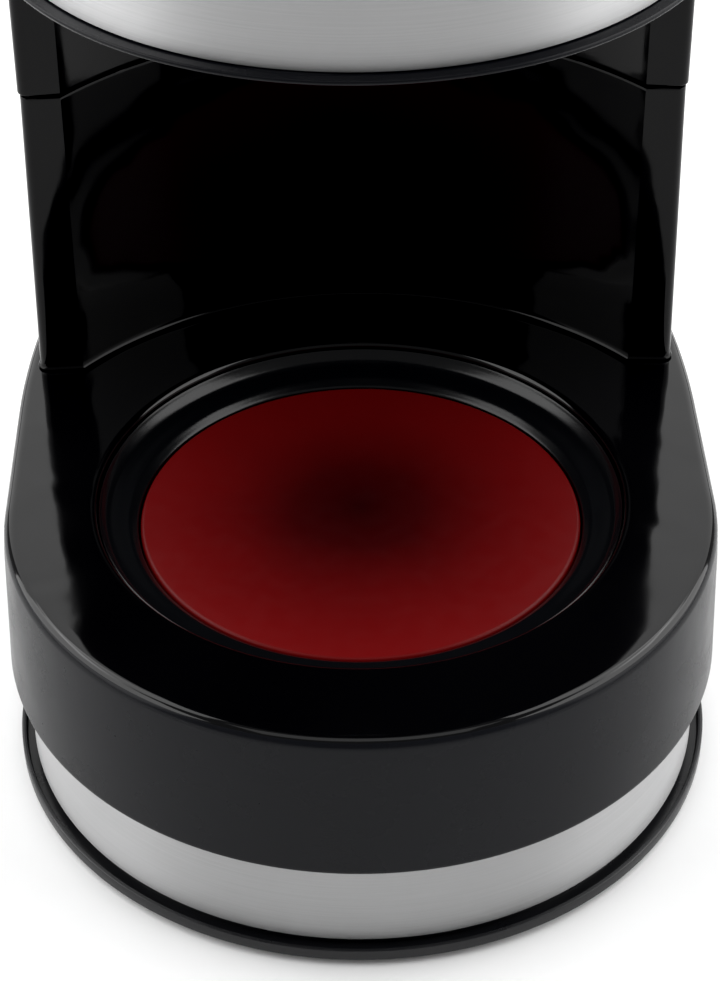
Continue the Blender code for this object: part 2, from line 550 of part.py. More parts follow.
def top():
    frame = prism("top_frame", top_plan, FRAME_Z, FRAME_Z + 2.7, SATIN)
    lugs = []
    for x in (-47.0, 47.0):
        lugs.append(block("lug_foot_%d" % x, (x - 2, HINGE_Y - 2.8, 264.0),
                          (x + 2, HINGE_Y + 2.8, HINGE_Z), SATIN))
        lugs.append(cross_rod("lug_eye_%d" % x, x - 2, x + 2, HINGE_Y, HINGE_Z, 2.8, SATIN))
    boolean(frame, "UNION", *lugs)
    boolean(frame, "DIFFERENCE", rods("basket_opening", ((0, 0),), 62.0, 255, 275, SATIN, steps=48),
            block("tank_opening", (-56, 91.0, 255), (56, 109.5, 275), SATIN),
            rods("riser_hole", (RISER,), 4.6, 255, 275, SATIN),
            cross_rod("lug_bore", -60, 60, HINGE_Y, HINGE_Z, 1.5, SATIN))

    rear = max(y for _, y in lid_plan)
    mid = 20.0
    crown = [at_height(offset(lid_plan, d), z) for d, z in
             ((-2.4, LID_Z), (0.0, LID_Z), (0.0, 274.5), (-0.7, 277.6), (-2.6, 279.8))]
    crown += [scaled(lid_plan, f, z, mid) for f, z in ((0.90, 281.4), (0.70, 282.6), (0.40, 283.2))]
    hollow = [scaled(lid_plan, f, z, mid) for f, z in ((0.40, 280.6), (0.70, 280.0), (0.88, 278.6))]
    lid = stack("lid", hollow + [at_height(offset(lid_plan, -3.2), 275.5)] + crown, GLOSS)
    ears = []
    for x in (-42.0, 42.0):
        ears.append(block("ear_arm_%d" % x, (x - 2, rear - 1.2, HINGE_Z - 2.4),
                          (x + 2, HINGE_Y, HINGE_Z + 2.8), GLOSS))
        ears.append(cross_rod("ear_eye_%d" % x, x - 2, x + 2, HINGE_Y, HINGE_Z, 2.8, GLOSS))
    tab = block("lid_tab", (-11, -75.6, 266.6), (11, -70.8, 269.4), GLOSS)
    boolean(lid, "UNION", tab, *ears)
    boolean(lid, "DIFFERENCE", cross_rod("ear_bore", -60, 60, HINGE_Y, HINGE_Z, 1.5, GLOSS))
    cross_rod("hinge_pin_left", -49.5, -39.5, HINGE_Y, HINGE_Z, 1.2, ZINC, steps=12)
    cross_rod("hinge_pin_right", 39.5, 49.5, HINGE_Y, HINGE_Z, 1.2, ZINC, steps=12)


base()
warming_plate()
heater()
water_path()
column()
tank()
head()
basket()
spray()
top()
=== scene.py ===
"""Looks of the drip coffee maker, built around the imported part: finer shells for what shows,
procedural materials for every piece, a pale floor, soft studio light and the camera.

Plan sizes are in millimetres from the warming plate's axis, with z up from the floor."""
import math

import bmesh
import bpy
from mathutils import Matrix, Vector


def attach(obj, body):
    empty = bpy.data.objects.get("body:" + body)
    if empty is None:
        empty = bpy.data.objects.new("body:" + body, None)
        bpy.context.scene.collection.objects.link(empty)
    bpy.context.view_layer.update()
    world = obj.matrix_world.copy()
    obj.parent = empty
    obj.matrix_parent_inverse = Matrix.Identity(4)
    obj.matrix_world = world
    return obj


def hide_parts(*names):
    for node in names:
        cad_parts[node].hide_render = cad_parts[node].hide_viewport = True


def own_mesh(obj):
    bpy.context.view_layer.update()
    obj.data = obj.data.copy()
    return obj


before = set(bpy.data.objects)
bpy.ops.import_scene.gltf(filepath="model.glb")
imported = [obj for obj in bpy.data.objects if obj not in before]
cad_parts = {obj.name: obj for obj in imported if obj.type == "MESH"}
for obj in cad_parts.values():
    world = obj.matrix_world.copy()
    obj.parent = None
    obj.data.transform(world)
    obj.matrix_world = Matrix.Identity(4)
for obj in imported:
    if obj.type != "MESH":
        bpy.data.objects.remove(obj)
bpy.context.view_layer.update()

MM = 0.001
AXIS_Y = -21.75              # plate axis in the object's frame
TO_FRAME = Matrix.Translation((0, AXIS_Y * MM, 0)) @ Matrix.Scale(MM, 4)

GAP = 0.3                    # clearance between neighbouring parts
DECK_Z, SEAM_Z, HEAD_Z, FRAME_Z, LID_Z = 65.0, 139.4, 208.4, 262.3, 265.4
COVER_EDGE_Z = 28.7          # lower edge of the base cover
BAND_LOW_Z, BAND_HIGH_Z = 5.2, 34.0
BASE_R, BASE_FRONT_Y = 80.2, -3.0
BASE_SIDE_Y, BASE_END_Y, BASE_CORNER_R, SIDE_BOW = 35.0, 114.0, 16.0, 500.0
SCREWS = ((-50, -48), (50, -48), (-60, 92), (60, 92))
CLAMPS = ((-68, 0), (68, 0))
SCREW_R, BOSS_R = 1.8, 4.5
GLAND_X, GLAND_Z, GLAND_R = -40.0, 46.0, 5.0
PLATE_R, PLATE_Z = 50.0, 58.4
LIP_R, LIP_Z = 61.1, 63.6    # centre of the rounding round the plate's recess
TOWER_INSET, FACE_Y, WALL = 4.6, 49.8, 2.2
NICHE_R, NICHE_Y, NICHE_EDGE_X = 86.2, -5.5, 65.7
COLUMN_END_Y, COLUMN_TOP_Z = 86.6, 262.0
TANK_Y, TANK_FLOOR_Z = 87.1, 70.0
WINDOW_Y, WINDOW_Z = 96.5, 165.0
RISER, OUTLET = (-60.0, 73.0), (30.0, 104.0)
SWITCH_Y, SWITCH_Z = 76.0, 100.0
DRUM_R, DRUM_RIM_R, DRUM_BAND_T, DRUM_BACK_Y = 69.7, 72.3, 0.8, 49.3
DRUM_STRAIGHT_Y, DRUM_TOP_Z, DRUM_HOLE_R = 25.0, 261.8, 20.0
CORE_BACK_X, BASKET_R, BASKET_Z = 65.2, 61.2, 214.9
SPRING_R, SPRING_WIRE_R, SPRING_TOP_Z = 5.6, 0.4, 227.0
HINGE_Y, HINGE_Z, LID_END_Y = 115.5, 269.2, 104.0
PIN_R, LUG_R, LUG_HALF, LUG_X, EAR_X = 1.5, 2.8, 2.0, 47.0, 42.0
SHARP = math.radians(30)     # edges steeper than this stay sharp in the shading
ROUND_FROM = math.radians(40)
FRONT_STEPS = 60             # points round each quarter of the front


# ---------------------------------------------------------------- camera, floor and light
def aim(obj, at, roll=0.0):
    """Points an object's -Z at a place, with its X level and then rolled."""
    ahead = (Vector(at) - obj.location).normalized()
    right = ahead.cross((0, 0, 1)).normalized()
    up = right.cross(ahead)
    x = right * math.cos(roll) + up * math.sin(roll)
    y = up * math.cos(roll) - right * math.sin(roll)
    obj.rotation_mode = "QUATERNION"
    obj.rotation_quaternion = Matrix((x, y, -ahead)).transposed().to_quaternion()


def link(name, data):
    obj = bpy.data.objects.new(name, data)
    bpy.context.scene.collection.objects.link(obj)
    return obj


camera = link("camera", bpy.data.cameras.new("camera"))
camera.location = (-0.00782, -0.49899, 0.43220)
pitch, yaw, roll = math.radians(37.55), math.radians(0.93), math.radians(-0.44)
ahead = Vector((math.sin(yaw) * math.cos(pitch), math.cos(yaw) * math.cos(pitch), -math.sin(pitch)))
aim(camera, camera.location + ahead, roll)
camera.data.sensor_width = 36.0
camera.data.lens = 97.67
camera.data.clip_start = 0.01
bpy.context.scene.camera = camera
film = bpy.context.scene.view_settings
film.view_transform = "Standard"
film.use_curve_mapping = True
film.curve_mapping.black_level = (0.0012, 0.0012, 0.0012)


def softbox(name, at, target, width, height, radiance):
    """A flat soft light. Its radiance is the brightness of its face, where 1 shows as white."""
    data = bpy.data.lights.new(name, "AREA")
    data.shape = "RECTANGLE"
    data.size, data.size_y = width, height
    data.energy = radiance * math.pi * width * height
    lamp = link(name, data)
    lamp.location = at
    aim(lamp, target)


for side in (-1, 1):
    tag = "left" if side < 0 else "right"
    softbox(tag + "_softbox", (side * 1.30, 0.05, 0.80), (0, 0, 0.10), 1.7, 1.35, 3.3)
    softbox(tag + "_high", (side * 0.62, 0.42, 1.25), (0, 0, 0.05), 0.7, 0.7, 3.0)
softbox("back_panel", (0.0, 1.50, 1.05), (0, 0, 0.10), 3.4, 1.9, 1.35)
softbox("overhead", (0.0, -0.55, 1.6), (0, -0.1, 0), 1.3, 0.7, 1.1)

world = bpy.data.worlds.new("studio")
world.use_nodes = True
world.node_tree.nodes["Background"].inputs["Color"].default_value = (1.0, 1.0, 1.0, 1.0)
world.node_tree.nodes["Background"].inputs["Strength"].default_value = 0.22
bpy.context.scene.world = world


# ---------------------------------------------------------------- materials
class Look:
    """A material's node tree, with short calls for the textures it is made of.
    Texture places are the frame's own metres, so a pattern keeps its real size."""

    def __init__(self, name, roughness, metallic=0.0, specular=0.5):
        self.mat = bpy.data.materials.new(name)
        self.mat.use_nodes = True
        self.tree = self.mat.node_tree
        self.shader = self.tree.nodes["Principled BSDF"]
        self.shader.inputs["Metallic"].default_value = metallic
        self.shader.inputs["Roughness"].default_value = roughness
        self.shader.inputs["Specular IOR Level"].default_value = specular
        self.place = self.add("ShaderNodeTexCoord").outputs["Object"]
        self.normal = None

    def add(self, kind, **inputs):
        made = self.tree.nodes.new(kind)
        for key, value in inputs.items():
            socket = made.inputs[key.replace("_", " ")]
            if isinstance(value, bpy.types.NodeSocket):
                self.tree.links.new(value, socket)
            else:
                socket.default_value = value
        return made

    def noise(self, scale, detail=2.0, stretch=(1, 1, 1), rough=0.5, distort=0.0):
        at = self.place
        if tuple(stretch) != (1, 1, 1):
            at = self.add("ShaderNodeMapping", Vector=at, Scale=stretch).outputs[0]
        return self.add("ShaderNodeTexNoise", Vector=at, Scale=scale, Detail=detail, Roughness=rough,
                        Distortion=distort).outputs["Fac"]

    def ranged(self, fac, low, high, start=0.3, end=0.7):
        made = self.add("ShaderNodeMapRange", Value=fac)
        for key, value in zip(("From Min", "From Max", "To Min", "To Max"), (start, end, low, high)):
            made.inputs[key].default_value = value
        return made.outputs[0]

    def ramp(self, fac, stops):
        made = self.add("ShaderNodeValToRGB", Fac=fac)
        marks = made.color_ramp.elements
        while len(marks) < len(stops):
            marks.new(0.5)
        for mark, (place, colour) in zip(marks, stops):
            mark.position = place
            mark.color = (*colour, 1.0)
        return made.outputs["Color"]

    def feed(self, name, value):
        self.tree.links.new(value, self.shader.inputs[name])

    def colour(self, fac, dark, light):
        self.feed("Base Color", self.ramp(fac, ((0.3, dark), (0.7, light))))

    def rough(self, fac, low, high):
        self.feed("Roughness", self.ranged(fac, low, high))

    def bump(self, height, strength, depth):
        made = self.add("ShaderNodeBump", Height=height)
        made.inputs["Strength"].default_value = strength
        made.inputs["Distance"].default_value = depth
        if self.normal:
            self.tree.links.new(self.normal, made.inputs["Normal"])
        self.normal = made.outputs[0]
        self.feed("Normal", self.normal)

    def anisotropic(self, amount):
        self.shader.inputs["Anisotropic"].default_value = amount
        self.shader.inputs["Anisotropic Rotation"].default_value = 0.25
        made = self.add("ShaderNodeTangent")
        made.direction_type = "RADIAL"
        made.axis = "Z"
        self.feed("Tangent", made.outputs[0])


def gloss_plastic(name, specular, ripple, haze):
    """Polished black plastic: broad sink ripples, uneven haze and a very fine grain."""
    look = Look(name, haze, specular=specular)
    look.colour(look.noise(9.0), (0.0009, 0.0009, 0.0011), (0.0018, 0.0018, 0.0022))
    look.rough(look.noise(60.0, 4.0), 0.7 * haze, 1.4 * haze)
    look.bump(look.noise(42.0, 1.0, distort=0.6), ripple, 0.0016)
    look.bump(look.noise(420.0, 2.0), 0.010, 0.0002)
    return look.mat


def satin_plastic(name, tone, low, high, specular=0.5, grain=2600.0):
    """Moulded plastic with a fine spark-eroded grain. Its roughness runs from low to high."""
    look = Look(name, (low + high) / 2, specular=specular)
    look.colour(look.noise(14.0, 3.0), tuple(c * 0.85 for c in tone), tuple(c * 1.15 for c in tone))
    look.rough(look.noise(90.0, 4.0), low, high)
    look.bump(look.noise(grain, 3.0), 0.10, 0.00012)
    look.bump(look.noise(30.0, 1.0), 0.05, 0.0010)
    return look.mat


def brushed_steel():
    """Stainless strip brushed lengthways: long fine scratches in shade, polish and height."""
    look = Look("brushed_steel", 0.3, metallic=1.0)
    fine = look.noise(1.0, 3.0, stretch=(60, 60, 9000), rough=0.6)
    broad = look.noise(1.0, 2.0, stretch=(20, 20, 3200), rough=0.5)
    both = look.add("ShaderNodeMath", **{"Value": fine})
    both.operation = "ADD"
    look.tree.links.new(broad, both.inputs[1])
    half = look.ranged(both.outputs[0], 0.0, 1.0, 0.6, 1.4)
    look.feed("Base Color", look.ramp(half, ((0.0, (0.385, 0.385, 0.388)), (1.0, (0.455, 0.455, 0.458)))))
    look.feed("Roughness", look.ranged(half, 0.39, 0.49, 0.0, 1.0))
    look.bump(fine, 0.10, 0.00006)
    look.anisotropic(0.86)
    return look.mat


def metal(name, dark, light, low, high):
    """Plain metal with a fine grain in its tone, polish and height."""
    look = Look(name, low, metallic=1.0)
    grain = look.noise(900.0, 3.0)
    look.colour(grain, dark, light)
    look.rough(look.noise(160.0, 3.0), low, high)
    look.bump(grain, 0.06, 0.00008)
    return look.mat


def red_coating():
    """Non-stick coating: deep red, with painted shade that darkens it towards the middle under the drum, and
    a fine sprayed texture.
    """
    look = Look("red_coating", 0.36, specular=0.10)
    centred = look.add("ShaderNodeMapping", Vector=look.place, Location=(0, -(AXIS_Y + 3.0) * MM, 0),
                       Scale=(1, 1, 0))
    length = look.add("ShaderNodeVectorMath", Vector=centred.outputs[0])
    length.operation = "LENGTH"
    patch = look.ranged(look.noise(55.0, 3.0), -0.0012, 0.0012)
    radius = look.add("ShaderNodeMath")
    radius.operation = "ADD"
    look.tree.links.new(length.outputs["Value"], radius.inputs[0])
    look.tree.links.new(patch, radius.inputs[1])
    share = look.ranged(radius.outputs[0], 0.0, 1.0, 0.0, 0.052)
    # painted shade: the red darkens towards a point 3 mm behind the plate's axis, where the drum above shuts
    # out the light
    look.feed("Base Color", look.ramp(share, (
        (0.0, (0.014, 0.0008, 0.0012)), (0.28, (0.030, 0.0012, 0.0016)),
        (0.62, (0.080, 0.0024, 0.0028)), (1.0, (0.122, 0.0034, 0.0038)))))
    look.rough(look.noise(240.0, 4.0), 0.32, 0.42)
    look.bump(look.noise(2100.0, 3.0), 0.12, 0.00010)
    return look.mat


def rubber(name, tone):
    """Dull rubber with a mottled tone and a coarse grain."""
    look = Look(name, 0.7, specular=0.35)
    look.colour(look.noise(70.0, 4.0), tuple(c * 0.8 for c in tone), tuple(c * 1.25 for c in tone))
    look.rough(look.noise(300.0, 3.0), 0.62, 0.82)
    look.bump(look.noise(1500.0, 3.0), 0.2, 0.00015)
    return look.mat


def silicone():
    """Milky silicone that lets a little light in."""
    look = Look("silicone", 0.45)
    look.colour(look.noise(60.0, 3.0), (0.52, 0.52, 0.50), (0.66, 0.66, 0.63))
    look.rough(look.noise(200.0, 3.0), 0.38, 0.52)
    look.shader.inputs["Subsurface Weight"].default_value = 0.25
    look.shader.inputs["Subsurface Radius"].default_value = (0.002, 0.0018, 0.0015)
    look.bump(look.noise(900.0, 2.0), 0.08, 0.0001)
    return look.mat


def window():
    """Clear moulded plastic with slight waves."""
    look = Look("clear_window", 0.10)
    look.colour(look.noise(40.0, 3.0), (0.50, 0.54, 0.57), (0.60, 0.63, 0.66))
    look.rough(look.noise(120.0, 3.0), 0.06, 0.16)
    look.shader.inputs["Transmission Weight"].default_value = 0.75
    look.shader.inputs["IOR"].default_value = 1.49
    look.bump(look.noise(70.0, 1.0), 0.05, 0.0005)
    return look.mat


def nylon():
    """Woven nylon gauze: fine crossed threads, darker in the gaps."""
    look = Look("nylon_mesh", 0.55)
    threads = []
    for axis in ("X", "Y"):
        wave = look.add("ShaderNodeTexWave", Vector=look.place, Scale=520.0)
        wave.wave_type, wave.bands_direction = "BANDS", axis
        threads.append(wave.outputs["Fac"])
    weave = look.add("ShaderNodeMath")
    weave.operation = "MAXIMUM"
    for socket, value in zip(weave.inputs, threads):
        look.tree.links.new(value, socket)
    look.feed("Base Color", look.ramp(weave.outputs[0], ((0.35, (0.10, 0.085, 0.06)),
                                                         (0.85, (0.62, 0.56, 0.44)))))
    look.bump(weave.outputs[0], 0.5, 0.0002)
    look.rough(look.noise(200.0), 0.5, 0.65)
    return look.mat


GLOSS = gloss_plastic("gloss_black", 0.30, 0.18, 0.06)
LID = gloss_plastic("lid_black", 0.30, 0.08, 0.07)
TOWER = gloss_plastic("tower_black", 0.13, 0.16, 0.06)
SATIN = satin_plastic("satin_black", (0.0042, 0.0045, 0.0060), 0.22, 0.30, specular=0.12)
RIB = satin_plastic("ring_black", (0.0026, 0.0028, 0.0034), 0.18, 0.24, specular=0.30, grain=1800.0)
RIM = satin_plastic("rim_black", (0.0065, 0.0068, 0.0080), 0.26, 0.36, specular=0.36)
STEEL = brushed_steel()
LOOKS = {
    "gloss_black": GLOSS,
    "satin_black": SATIN,
    "brushed_steel": STEEL,
    "zinc_steel": metal("zinc_steel", (0.44, 0.44, 0.46), (0.60, 0.60, 0.60), 0.30, 0.46),
    "red_coating": red_coating(),
    "black_rubber": rubber("black_rubber", (0.016, 0.016, 0.016)),
    "aluminium": metal("aluminium", (0.60, 0.60, 0.62), (0.74, 0.74, 0.75), 0.36, 0.50),
    "silicone": silicone(),
    "inner_plastic": satin_plastic("inner_plastic", (0.024, 0.024, 0.026), 0.46, 0.60),
    "clear_window": window(),
    "nylon_mesh": nylon(),
}


# ---------------------------------------------------------------- building helpers
def piece(name, bm, looks):
    """A mesh in plan millimetres, brought into the frame. Looks may be one or several materials."""
    bmesh.ops.transform(bm, matrix=TO_FRAME, verts=bm.verts)
    bmesh.ops.recalc_face_normals(bm, faces=bm.faces)
    mesh = bpy.data.meshes.new(name)
    bm.to_mesh(mesh)
    bm.free()
    for mat in looks if isinstance(looks, (list, tuple)) else [looks]:
        mesh.materials.append(mat)
    mesh.shade_smooth()
    mesh.set_sharp_from_angle(angle=SHARP)
    return link(name, mesh)


def stack(name, loops, looks, ring=False):
    """A skin through loops of points, closed into a ring section or capped at both ends."""
    bm = bmesh.new()
    rows = [[bm.verts.new(p) for p in loop] for loop in loops]
    above = rows[1:] + [rows[0]] if ring else rows[1:]
    for low, high in zip(rows, above):
        for i in range(len(low)):
            j = (i + 1) % len(low)
            bm.faces.new((low[i], low[j], high[j], high[i]))
    if not ring:
        bm.faces.new(rows[0][::-1])
        bm.faces.new(rows[-1])
    return piece(name, bm, looks)


def turned(name, profile, looks, steps=144, closed=False, at=(0, 0, 0), turn=None):
    """A profile of (radius, height) points spun round the upright axis, then turned and placed."""
    bm = bmesh.new()
    verts = [bm.verts.new((r, 0.0, z)) for r, z in profile]
    edges = [bm.edges.new(pair) for pair in zip(verts, verts[1:])]
    if closed:
        edges.append(bm.edges.new((verts[-1], verts[0])))
    bmesh.ops.spin(bm, geom=verts + edges, cent=(0, 0, 0), axis=(0, 0, 1), angle=math.tau,
                   steps=steps, use_merge=True, use_duplicate=False)
    bmesh.ops.remove_doubles(bm, verts=bm.verts, dist=1e-4)
    bmesh.ops.transform(bm, matrix=Matrix.Translation(at) @ (turn or Matrix()), verts=bm.verts)
    return piece(name, bm, looks)


def rods(centres, radius, z0, z1, steps=40):
    """Upright rods, as one tool for a boolean."""
    bm = bmesh.new()
    for x, y in centres:
        bmesh.ops.create_cone(bm, cap_ends=True, segments=steps, radius1=radius, radius2=radius,
                              depth=z1 - z0, matrix=Matrix.Translation((x, y, (z0 + z1) / 2)))
    return piece("tool", bm, [])


def block(low, high, matrix=None):
    """A box between two corners, as a tool for a boolean."""
    low, high = Vector(low), Vector(high)
    bm = bmesh.new()
    bmesh.ops.create_cube(bm, size=1.0)
    bmesh.ops.scale(bm, verts=bm.verts, vec=high - low)
    bmesh.ops.translate(bm, verts=bm.verts, vec=(low + high) / 2)
    bmesh.ops.transform(bm, matrix=matrix or Matrix(), verts=bm.verts)
    return piece("tool", bm, [])


def cross_rod(x0, x1, y, z, radius):
    """A rod that lies along X, as a tool for a boolean."""
    place = Matrix.Translation(((x0 + x1) / 2, y, z)) @ Matrix.Rotation(math.pi / 2, 4, "Y")
    bm = bmesh.new()
    bmesh.ops.create_cone(bm, cap_ends=True, segments=40, radius1=radius, radius2=radius, depth=x1 - x0,
                          matrix=place)
    return piece("tool", bm, [])


def applied(obj):
    """The object with its modifiers made part of its mesh."""
    bpy.context.view_layer.update()
    seen = obj.evaluated_get(bpy.context.evaluated_depsgraph_get())
    mesh = bpy.data.meshes.new_from_object(seen)
    obj.modifiers.clear()
    obj.data = mesh
    return obj


def combine(obj, operation, *tools):
    """Joins or cuts a piece with tools, which are then removed."""
    for tool in tools:
        mod = obj.modifiers.new(operation, "BOOLEAN")
        mod.operation, mod.solver, mod.object = operation, "EXACT", tool
    applied(obj).data.set_sharp_from_angle(angle=SHARP)
    for tool in tools:
        bpy.data.objects.remove(tool)


def rounded(obj, width, segments=3):
    """Rounds the sharp edges of a piece, and leaves its flats flat."""
    mod = obj.modifiers.new("round", "BEVEL")
    mod.width, mod.segments = width * MM, segments
    mod.limit_method, mod.angle_limit = "ANGLE", ROUND_FROM
    mod.harden_normals = True
    mod.use_clamp_overlap = True
    return obj


def stand_for(obj, node, body="machine"):
    """The piece is shown in a CAD node's place and moves with its body."""
    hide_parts(node)
    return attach(obj, body)


# ---------------------------------------------------------------- plan outlines
def arc(cx, cy, radius, start, end, count):
    angles = [math.radians(start + (end - start) * i / count) for i in range(count + 1)]
    return [(cx + radius * math.cos(a), cy + radius * math.sin(a)) for a in angles]


def both_sides(half):
    """A right half, front to back, with its mirror image."""
    return half + [(-x, y) for x, y in reversed(half) if x > 1e-6]


def offset(outline, distance):
    """The outline moved outwards along its corners' bisectors."""
    moved = []
    for i, p in enumerate(outline):
        a, p, b = Vector(outline[i - 1]), Vector(p), Vector(outline[(i + 1) % len(outline)])
        n1, n2 = [Vector((d.y, -d.x)).normalized() for d in (p - a, b - p)]
        moved.append(tuple(p + (n1 + n2) * (distance / (1.0 + n1.dot(n2)))))
    return moved


def at_height(outline, z):
    return [(x, y, z) for x, y in outline]


def rings(plan, profile):
    """The plan at each (offset, height) of a profile."""
    return [at_height(offset(plan, d), z) for d, z in profile]


def circle_for(outline, radius, z):
    """A circle with one point in the direction of each of the outline's."""
    return [(radius * x / math.hypot(x, y), radius * y / math.hypot(x, y), z) for x, y in outline]


def scaled(outline, factor, z, cy):
    """The outline shrunk towards a point on its centre line."""
    return [(x * factor, cy + (y - cy) * factor, z) for x, y in outline]


def base_side(y):
    return BASE_R - max(0.0, y - BASE_SIDE_Y) ** 2 / SIDE_BOW


def tower_side(y):
    return base_side(y) - TOWER_INSET


def rear_corner(side, end_y, radius):
    """The corner where a leaning side meets the rear, and the rear in to its middle."""
    lean = math.atan2(side(end_y - 0.5) - side(end_y + 0.5), 1.0)
    cx, cy = side(end_y) - radius * math.cos(lean), end_y - radius * math.sin(lean)
    rear = [(cx * k / 10, cy + radius) for k in range(9, -1, -1)]
    return arc(cx, cy, radius, math.degrees(lean), 90, 16) + rear


def side_points(side, y0, y1, count):
    return [(side(y), y) for y in (y0 + (y1 - y0) * i / count for i in range(1, count))]


def top_side(y):
    if y > FACE_Y:
        return tower_side(y)
    share = max(0.0, y) / FACE_Y
    return DRUM_RIM_R + (tower_side(FACE_Y) - DRUM_RIM_R) * share


def lid_side(y):
    return top_side(y) - 0.4


def tank_side(y):
    return tower_side(y) + 0.2


base_plan = both_sides(arc(0, BASE_FRONT_Y, BASE_R, -90, 0, FRONT_STEPS)
                       + side_points(base_side, BASE_FRONT_Y, BASE_END_Y, 40)
                       + rear_corner(base_side, BASE_END_Y, BASE_CORNER_R))
top_plan = both_sides(arc(0, 0, DRUM_RIM_R, -90, 0, FRONT_STEPS)
                      + side_points(top_side, 0, BASE_END_Y - 4, 30)
                      + rear_corner(top_side, BASE_END_Y - 4, BASE_CORNER_R - 4))
lid_plan = both_sides(arc(0, 0, DRUM_RIM_R - 0.4, -90, 0, FRONT_STEPS)
                      + side_points(lid_side, 0, LID_END_Y, 30)
                      + rear_corner(lid_side, LID_END_Y, 9.0))


def niche_half(radius, edge_x, count):
    edge = math.degrees(math.acos(edge_x / radius))
    return arc(0, NICHE_Y, radius, edge, 90, count)


def column_plan(grow):
    """The column's wall in plan: the niche, two flat faces and two sides, with an open rear."""
    side = tower_side(FACE_Y) + grow
    corner = arc(side - 2.4, FACE_Y + 2.4, 2.4, -90, 0, 9)
    ys = [62.0 + (COLUMN_END_Y - 62.0) * i / 8 for i in range(9)]
    outer = list(reversed(niche_half(NICHE_R, NICHE_EDGE_X, 56))) + corner
    outer += [(tower_side(y) + grow, y) for y in ys]
    inner = [(tower_side(y) + grow - WALL, y) for y in reversed(ys)]
    inner += [(side - WALL, FACE_Y + WALL + 0.4), (side - WALL - 0.4, FACE_Y + WALL)]
    inner += niche_half(NICHE_R + WALL, NICHE_EDGE_X + 0.9, 56)
    half = outer + inner
    return half[:-1] + [(-x, y) for x, y in reversed(half[1:])]


def edged(low, high, z0, z1, radius=0.35):
    """Loops for a wall from one plan up to another, with its bottom and top edges rounded.
    A loop close to each rounded edge keeps the wall between them flat in its shading."""
    turns = [math.pi / 2 * i / 3 for i in range(4)]
    loops = [at_height(offset(low, radius * (math.sin(a) - 1)), z0 + radius * (1 - math.cos(a)))
             for a in turns]
    loops += [at_height(low, z0 + radius + 0.4), at_height(high, z1 - radius - 0.4)]
    return loops + [at_height(offset(high, radius * (math.cos(a) - 1)), z1 - radius * (1 - math.sin(a)))
                    for a in turns]


def curve_through(knots, count):
    """A smooth line through profile points."""
    knots = [Vector(k) for k in knots]
    ends = [2 * knots[0] - knots[1]] + knots + [2 * knots[-1] - knots[-2]]
    path = []
    for a, b, c, d in zip(ends, ends[1:], ends[2:], ends[3:]):
        for i in range(count):
            t = i / count
            path.append(tuple(0.5 * (2 * b + (c - a) * t + (2 * a - 5 * b + 4 * c - d) * t * t
                                     + (3 * b - a - 3 * c + d) * t ** 3)))
    return path + [tuple(knots[-1])]


# ---------------------------------------------------------------- base
def base():
    edge = [(-2.7 + 2.7 * math.cos(a), 62.2 + 2.8 * math.sin(a))
            for a in (math.pi / 2 * i / 12 for i in range(13))]
    lip = [(LIP_R - 1.45 * math.sin(a), LIP_Z + 1.4 * math.cos(a))
           for a in (math.pi / 2 * i / 6 for i in range(7))]
    skirt = [(0.9, COVER_EDGE_Z), (1.2, 28.85), (1.3, 29.2), (1.28, 29.7), (0.3, 58.0)]
    loops = rings(base_plan, skirt + edge)
    outer, inner = loops[-1], circle_for(base_plan, *lip[0])
    for i in range(1, 10):
        loops.append([tuple(Vector(a).lerp(b, i / 10)) for a, b in zip(outer, inner)])
    inside_z, boss_z = DECK_Z - 2.3, DECK_Z - 1.4
    loops += [circle_for(base_plan, r, z) for r, z in lip + [(59.5, 61.0), (61.7, 61.0), (61.7, inside_z)]]
    loops += rings(base_plan, [(-3.0, inside_z), (-1.1, COVER_EDGE_Z)])
    cover = stack("deck_cover", loops, [GLOSS, SATIN], ring=True)
    combine(cover, "UNION", rods(SCREWS, BOSS_R, 5.0, boss_z), rods(CLAMPS, BOSS_R, 48.7, boss_z))
    rear = max(y for _, y in base_plan)
    hole = turned("tool", ((0, -10), (GLAND_R, -10), (GLAND_R, 10), (0, 10)), [], steps=40,
                  at=(GLAND_X, rear, GLAND_Z), turn=Matrix.Rotation(math.pi / 2, 4, "X"))
    combine(cover, "DIFFERENCE", rods(SCREWS, SCREW_R, 4.0, 24.0), rods(CLAMPS, SCREW_R, 47.0, 58.0),
            rods((RISER, OUTLET), 8.0, 50.0, 70.0), block((58, 64, 50), (68, 80, 70)), hole)
    axis = Vector((0, AXIS_Y * MM))
    for face in cover.data.polygons:
        on_deck = face.center.z > 64.3 * MM
        in_recess = face.center.z > 60.0 * MM and (face.center.xy - axis).length < 62.0 * MM
        face.material_index = 0 if on_deck or in_recess else 1
    stand_for(cover, "base_cover")

    section = ((-2.45, BAND_LOW_Z), (-2.3, 5.35), (-2.3, 33.85), (-2.45, BAND_HIGH_Z),
               (-3.1, BAND_HIGH_Z), (-3.1, BAND_LOW_Z))
    band = stack("steel_band", rings(base_plan, section), STEEL, ring=True)
    stand_for(band, "base_band")

    section = [(0.3, 1.8), (0.6, 1.9), (0.8, 2.2), (0.8, 4.35), (0.7, 4.6), (0.45, 4.7), (0.1, 4.7),
               (-0.2, 4.6), (-0.4, 4.3), (-0.6, 2.9), (-3.5, 2.9), (-3.5, 12.0), (-5.5, 12.0), (-5.5, 4.3)]
    plate = stack("bottom_rim", rings(base_plan, section), RIM)
    vents = [block((18.0 * k - 3.0, -22.0, 0.0), (18.0 * k + 3.0, 22.0, 8.0)) for k in (-1, 0, 1)]
    combine(plate, "DIFFERENCE", rods(SCREWS, 2.0, 0.0, 8.0), rods(SCREWS, 4.0, 0.0, 3.4), *vents)
    stand_for(plate, "base_plate")


